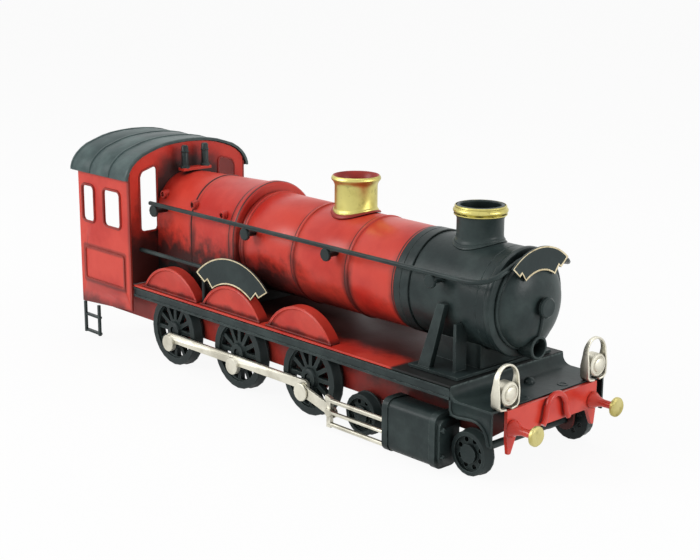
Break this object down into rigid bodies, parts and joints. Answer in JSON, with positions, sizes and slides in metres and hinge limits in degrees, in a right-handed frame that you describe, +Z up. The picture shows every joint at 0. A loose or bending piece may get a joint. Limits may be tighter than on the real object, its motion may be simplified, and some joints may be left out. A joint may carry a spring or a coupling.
{
  "type": "toy train locomotive",
  "caption": "Sheet-metal toy steam locomotive with boiler, open cab, spoked driving wheels, coupling and connecting rods, sliding crossheads, lamps and buffers.",
  "frame": {"origin": "middle of the bounding box at wheel-bottom level", "axes": "+X to the front of the locomotive (chimney end), +Y to its left side, +Z up"},
  "size_m": [0.34, 0.0924, 0.119],
  "materials": {
    "red_paint": "satin",
    "black_paint": "satin",
    "brass": "satin",
    "bright_steel": "satin",
    "nickel_plate": "satin"
  },
  "bodies": {
    "locomotive": {"deck": "red_paint", "front_platform": "black_paint", "buffer_beam": "red_paint", "coupling_hoop": "red_paint", "firebox": "red_paint", "boiler_barrel": "red_paint", "smokebox": "black_paint", "smokebox_door": "black_paint", "smokebox_saddle": "black_paint", "chimney": "black_paint", "chimney_ring": "brass", "dome": "brass", "whistle_posts": "black_paint", "cab_front": "red_paint", "cab_roof": "black_paint", "front_plate": "black_paint", "handrail": "black_paint", "valance_right": "black_paint", "frame_plate_right": "red_paint", "buffer_shank_right": "red_paint", "buffer_head_right": "brass", "lamp_right": "nickel_plate", "cab_side_right": "red_paint", "cab_steps_right": "black_paint", "side_plate_right": "black_paint", "grab_rail_right": "black_paint", "cylinder_right": "black_paint", "splasher_rear_right": "red_paint", "splasher_middle_right": "red_paint", "splasher_front_right": "red_paint", "valance_left": "black_paint", "frame_plate_left": "red_paint", "buffer_shank_left": "red_paint", "buffer_head_left": "brass", "lamp_left": "nickel_plate", "cab_side_left": "red_paint", "cab_steps_left": "black_paint", "side_plate_left": "black_paint", "grab_rail_left": "black_paint", "cylinder_left": "black_paint", "splasher_rear_left": "red_paint", "splasher_middle_left": "red_paint", "splasher_front_left": "red_paint"},
    "drivers_rear": {"driving_axle_rear": "bright_steel", "driving_wheel_rear_right": "black_paint", "driving_wheel_rear_left": "black_paint"},
    "drivers_middle": {"driving_axle_middle": "bright_steel", "driving_wheel_middle_right": "black_paint", "driving_wheel_middle_left": "black_paint"},
    "drivers_front": {"driving_axle_front": "bright_steel", "driving_wheel_front_right": "black_paint", "driving_wheel_front_left": "black_paint"},
    "coupling_rod_right": {"coupling_rod_right": "bright_steel"},
    "connecting_rod_right": {"connecting_rod_right": "bright_steel"},
    "crosshead_right": {"crosshead_right": "bright_steel"},
    "coupling_rod_left": {"coupling_rod_left": "bright_steel"},
    "connecting_rod_left": {"connecting_rod_left": "bright_steel"},
    "crosshead_left": {"crosshead_left": "bright_steel"},
    "bogie_rear": {"bogie_wheels_rear": "black_paint"},
    "bogie_front": {"bogie_wheels_front": "black_paint"}
  },
  "joints": [
    {"name": "driver_spin", "type": "hinge", "parent": "locomotive", "child": "drivers_middle", "pos_m": [-0.025, 0, 0.0199], "axis": [0, 1, 0], "continuous": true},
    {"name": "rear_driver_spin", "type": "hinge", "parent": "locomotive", "child": "drivers_rear", "pos_m": [-0.081, 0, 0.0199], "axis": [0, 1, 0], "continuous": true},
    {"name": "front_driver_spin", "type": "hinge", "parent": "locomotive", "child": "drivers_front", "pos_m": [0.031, 0, 0.0199], "axis": [0, 1, 0], "continuous": true},
    {"name": "coupling_rod_right_pin", "type": "hinge", "parent": "drivers_middle", "child": "coupling_rod_right", "pos_m": [-0.025, 0, 0.0136], "axis": [0, 1, 0], "continuous": true},
    {"name": "connecting_rod_right_pin", "type": "hinge", "parent": "drivers_front", "child": "connecting_rod_right", "pos_m": [0.031, 0, 0.0136], "axis": [0, 1, 0], "continuous": true},
    {"name": "crosshead_right_slide", "type": "slide", "parent": "locomotive", "child": "crosshead_right", "axis": [1, 0, 0], "range_m": [-0.0063, 0.0063]},
    {"name": "coupling_rod_left_pin", "type": "hinge", "parent": "drivers_middle", "child": "coupling_rod_left", "pos_m": [-0.025, 0, 0.0136], "axis": [0, 1, 0], "continuous": true},
    {"name": "connecting_rod_left_pin", "type": "hinge", "parent": "drivers_front", "child": "connecting_rod_left", "pos_m": [0.031, 0, 0.0136], "axis": [0, 1, 0], "continuous": true},
    {"name": "crosshead_left_slide", "type": "slide", "parent": "locomotive", "child": "crosshead_left", "axis": [1, 0, 0], "range_m": [-0.0063, 0.0063]},
    {"name": "bogie_rear_spin", "type": "hinge", "parent": "locomotive", "child": "bogie_rear", "pos_m": [0.0697, 0, 0.0109], "axis": [0, 1, 0], "continuous": true},
    {"name": "bogie_front_spin", "type": "hinge", "parent": "locomotive", "child": "bogie_front", "pos_m": [0.1389, 0, 0.0109], "axis": [0, 1, 0], "continuous": true}
  ],
  "couplings": [
    {"joint": "rear_driver_spin", "follows": "driver_spin", "ratio": 1},
    {"joint": "front_driver_spin", "follows": "driver_spin", "ratio": 1},
    {"joint": "coupling_rod_right_pin", "follows": "driver_spin", "ratio": -1},
    {"joint": "connecting_rod_right_pin", "follows": "driver_spin", "ratio": -1},
    {"joint": "coupling_rod_left_pin", "follows": "driver_spin", "ratio": -1},
    {"joint": "connecting_rod_left_pin", "follows": "driver_spin", "ratio": -1}
  ]
}
